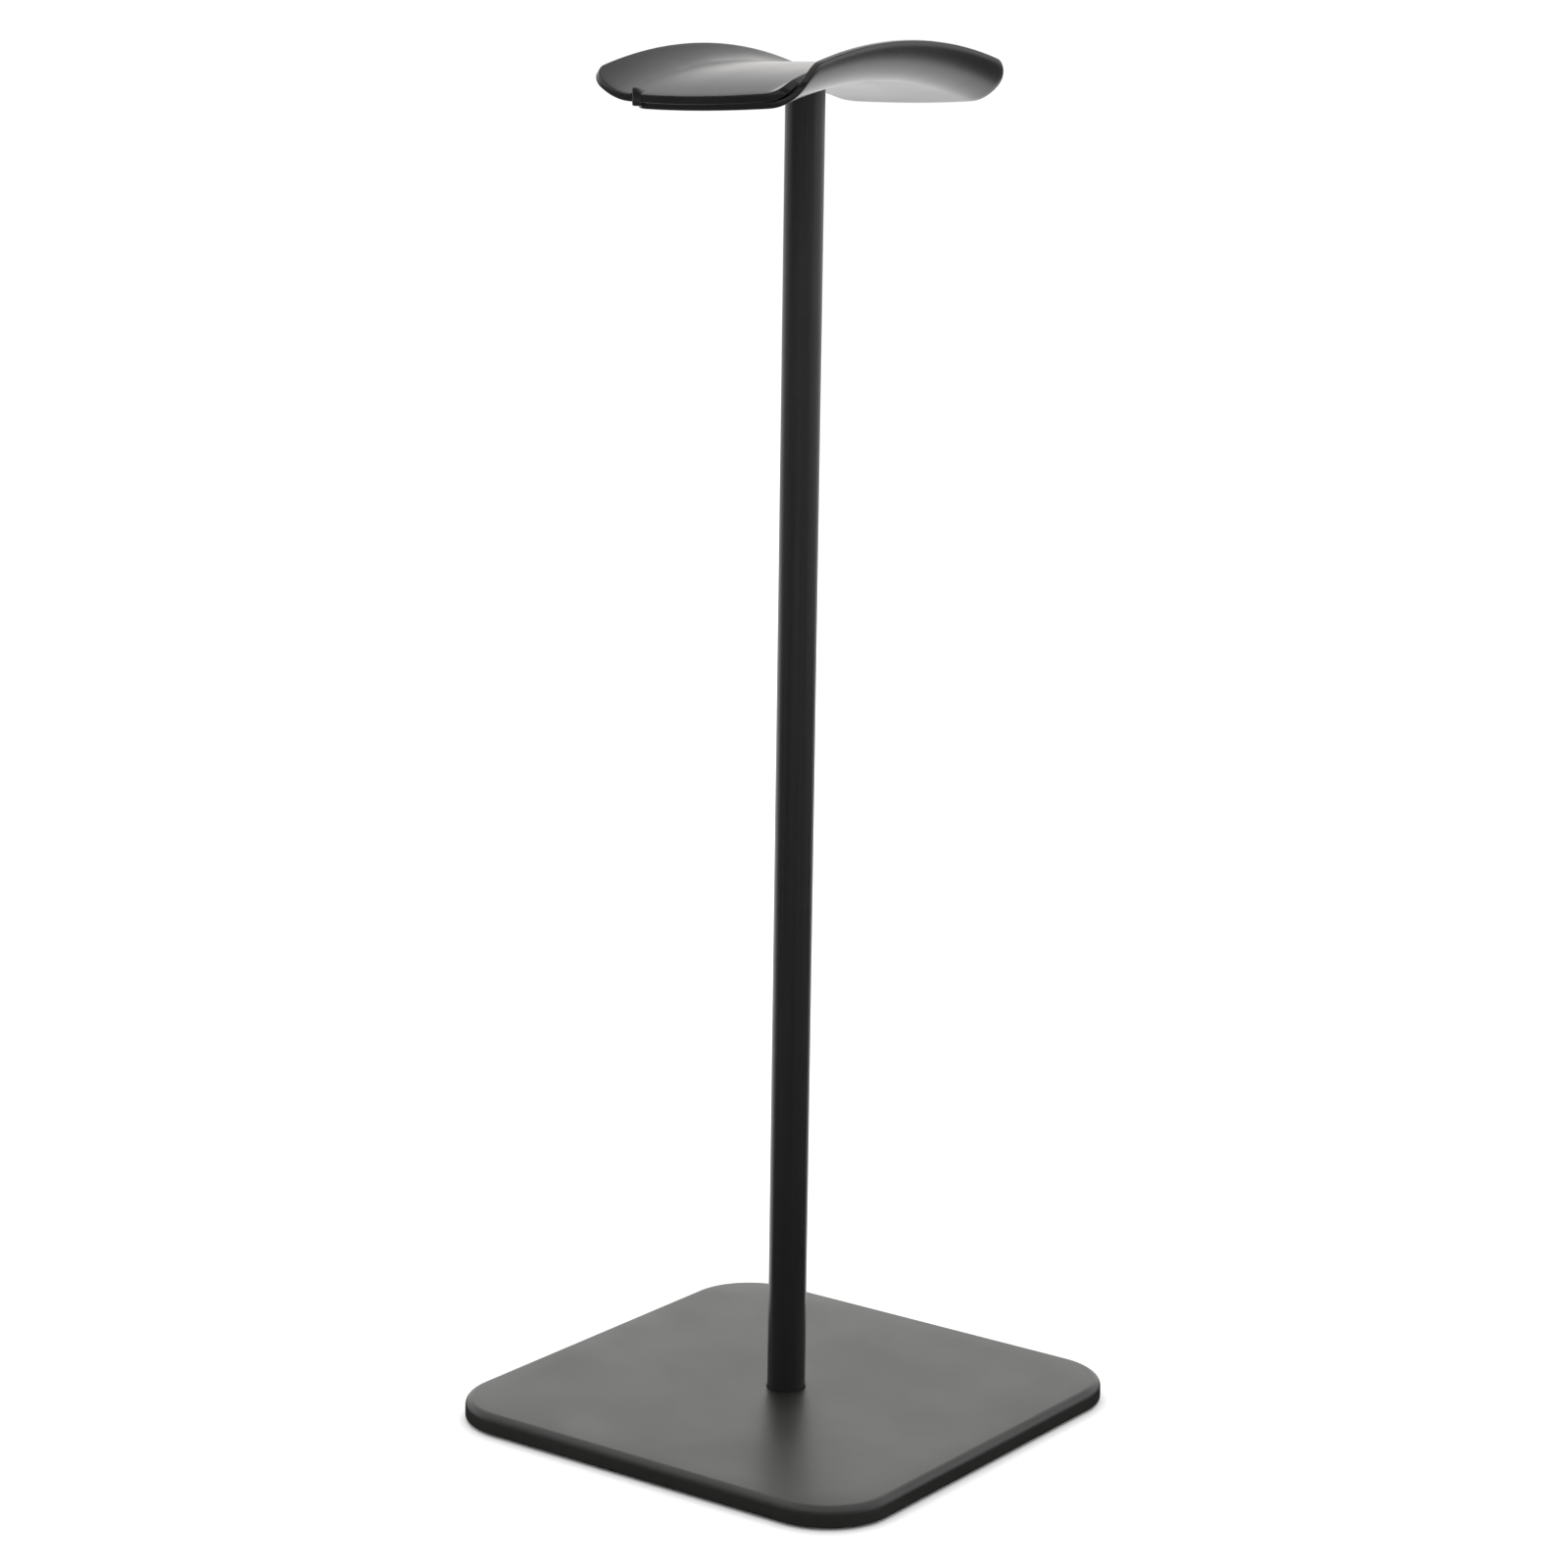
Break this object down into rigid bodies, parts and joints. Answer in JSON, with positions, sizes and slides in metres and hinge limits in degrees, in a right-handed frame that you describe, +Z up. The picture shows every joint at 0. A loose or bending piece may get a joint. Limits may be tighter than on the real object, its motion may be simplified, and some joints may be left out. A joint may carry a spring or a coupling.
{
  "type": "headphone stand",
  "caption": "Slim desktop headphone stand with a weighted square base, a round pole and a flexible two-leaf saddle headrest.",
  "frame": {"origin": "centre of the plane the feet rest on, below the pole's axis", "axes": "+Z up along the pole; +X along one side of the base and along the headrest's arch; +Y towards the base's rear side and across the headrest"},
  "size_m": [0.1, 0.1, 0.2724],
  "materials": {
    "base_moulding": "satin fine-textured black moulding",
    "panel_moulding": "matt black moulding",
    "zinc_steel": "zinc-plated steel plate",
    "screw_steel": "blackened steel",
    "pole_finish": "satin black anodised aluminium",
    "plug_brass": "turned brass",
    "soft_headrest": "satin black thermoplastic elastomer",
    "foot_rubber": "matt black rubber",
    "adhesive_film": "double-sided adhesive film"
  },
  "bodies": {
    "root": {"base_cover": "base_moulding", "base_weight": "zinc_steel", "base_bottom_panel": "panel_moulding", "panel_screws": "screw_steel", "pole_tube": "pole_finish", "pole_lower_plug": "plug_brass", "pole_upper_plug": "plug_brass", "pole_screw": "screw_steel", "headrest_stud": "screw_steel", "headrest_lower_leaf": "soft_headrest", "headrest_upper_leaf": "soft_headrest", "headrest_bond_pad": "adhesive_film", "foot_front_left": "foot_rubber", "foot_front_right": "foot_rubber", "foot_rear_left": "foot_rubber", "foot_rear_right": "foot_rubber", "foot_tape_front_left": "adhesive_film", "foot_tape_front_right": "adhesive_film", "foot_tape_rear_left": "adhesive_film", "foot_tape_rear_right": "adhesive_film"}
  },
  "joints": []
}
